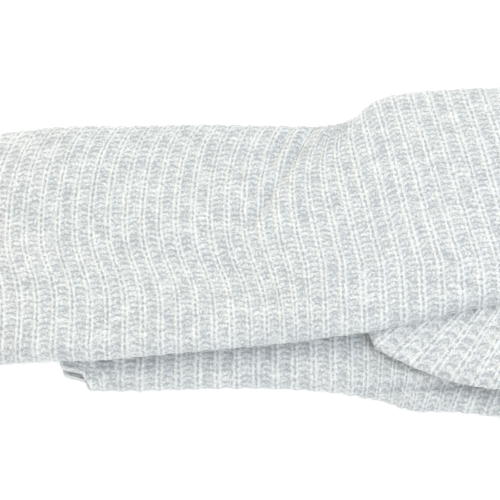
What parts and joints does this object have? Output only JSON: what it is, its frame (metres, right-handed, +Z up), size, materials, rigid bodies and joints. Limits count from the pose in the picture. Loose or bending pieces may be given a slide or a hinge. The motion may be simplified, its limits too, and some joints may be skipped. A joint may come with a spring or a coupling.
{
  "type": "pair of long knitted gloves",
  "caption": "Pair of long rib-knit gloves lying flat, one on the other, with fingers, thumbs, wrist and cuff that fold.",
  "frame": {"origin": "on the resting surface, on the flat underside of the right glove's sleeve", "axes": "+X from cuffs to fingertips, +Z up from the surface, +Y away from the thumbs"},
  "size_m": [0.3962, 0.2393, 0.0224],
  "materials": {
    "rib_knit": "brushed heather rib knit",
    "seam_yarn": "linked yarn seam",
    "label_ribbon": "satin woven ribbon"
  },
  "bodies": {
    "right_glove": {"right_cuff_band": "rib_knit", "right_sleeve": "rib_knit", "right_hand": "rib_knit", "right_thumb_gusset": "rib_knit", "right_cuff_seam": "seam_yarn", "right_sleeve_seam": "seam_yarn", "right_hand_seam": "seam_yarn", "right_care_label": "label_ribbon"},
    "right_thumb_body": {"right_thumb": "rib_knit"},
    "left_sleeve_body": {"left_sleeve": "rib_knit", "left_sleeve_seam": "seam_yarn"},
    "left_cuff_body": {"left_cuff_band": "rib_knit", "left_cuff_seam": "seam_yarn", "left_care_label": "label_ribbon"},
    "left_hand_body": {"left_hand": "rib_knit", "left_thumb_gusset": "rib_knit", "left_hand_seam": "seam_yarn"},
    "left_thumb_body": {"left_thumb": "rib_knit"},
    "right_index_body": {"right_index_finger": "rib_knit"},
    "right_middle_body": {"right_middle_finger": "rib_knit"},
    "right_ring_body": {"right_ring_finger": "rib_knit"},
    "right_little_body": {"right_little_finger": "rib_knit"},
    "left_index_body": {"left_index_finger": "rib_knit"},
    "left_middle_body": {"left_middle_finger": "rib_knit"},
    "left_ring_body": {"left_ring_finger": "rib_knit"},
    "left_little_body": {"left_little_finger": "rib_knit"}
  },
  "joints": [
    {"name": "left_glove_lift", "type": "slide", "parent": "right_glove", "child": "left_sleeve_body", "axis": [0, 0, 1], "range_m": [0, 0.12]},
    {"name": "left_wrist_fold", "type": "hinge", "parent": "left_sleeve_body", "child": "left_hand_body", "pos_m": [0.038, 0.0095, 0.0224], "axis": [0.1262, -0.992, 0], "range_deg": [0, 85]},
    {"name": "left_cuff_fold", "type": "hinge", "parent": "left_sleeve_body", "child": "left_cuff_body", "pos_m": [-0.07565, 0.00056, 0.0224], "axis": [-0.0785, 0.9969, 0], "range_deg": [0, 90]},
    {"name": "left_thumb_swing", "type": "hinge", "parent": "left_hand_body", "child": "left_thumb_body", "pos_m": [0.09853, -0.04583, 0.0169], "axis": [0, 0, 1], "range_deg": [-20, 20]},
    {"name": "left_index_fold", "type": "hinge", "parent": "left_hand_body", "child": "left_index_body", "pos_m": [0.1407, -0.00742, 0.0219], "axis": [0.1219, -0.9925, 0], "range_deg": [0, 90]},
    {"name": "left_middle_fold", "type": "hinge", "parent": "left_hand_body", "child": "left_middle_body", "pos_m": [0.1367, 0.01523, 0.0219], "axis": [0.1564, -0.9877, 0], "range_deg": [0, 90]},
    {"name": "left_ring_fold", "type": "hinge", "parent": "left_hand_body", "child": "left_ring_body", "pos_m": [0.13271, 0.03788, 0.0219], "axis": [0.1994, -0.9799, 0], "range_deg": [0, 90]},
    {"name": "left_little_fold", "type": "hinge", "parent": "left_hand_body", "child": "left_little_body", "pos_m": [0.12872, 0.06053, 0.0219], "axis": [0.2419, -0.9703, 0], "range_deg": [0, 90]},
    {"name": "right_thumb_swing", "type": "hinge", "parent": "right_glove", "child": "right_thumb_body", "pos_m": [0.12484, -0.09704, 0.0055], "axis": [0, 0, 1], "range_deg": [-20, 20]},
    {"name": "right_index_fold", "type": "hinge", "parent": "right_glove", "child": "right_index_body", "pos_m": [0.18142, -0.08977, 0.0105], "axis": [-0.4695, -0.8829, 0], "range_deg": [0, 90]},
    {"name": "right_middle_fold", "type": "hinge", "parent": "right_glove", "child": "right_middle_body", "pos_m": [0.19114, -0.06892, 0.0105], "axis": [-0.4384, -0.8988, 0], "range_deg": [0, 90]},
    {"name": "right_ring_fold", "type": "hinge", "parent": "right_glove", "child": "right_ring_body", "pos_m": [0.20086, -0.04808, 0.0105], "axis": [-0.3987, -0.9171, 0], "range_deg": [0, 90]},
    {"name": "right_little_fold", "type": "hinge", "parent": "right_glove", "child": "right_little_body", "pos_m": [0.21058, -0.02723, 0.0105], "axis": [-0.3584, -0.9336, 0], "range_deg": [0, 90]}
  ]
}
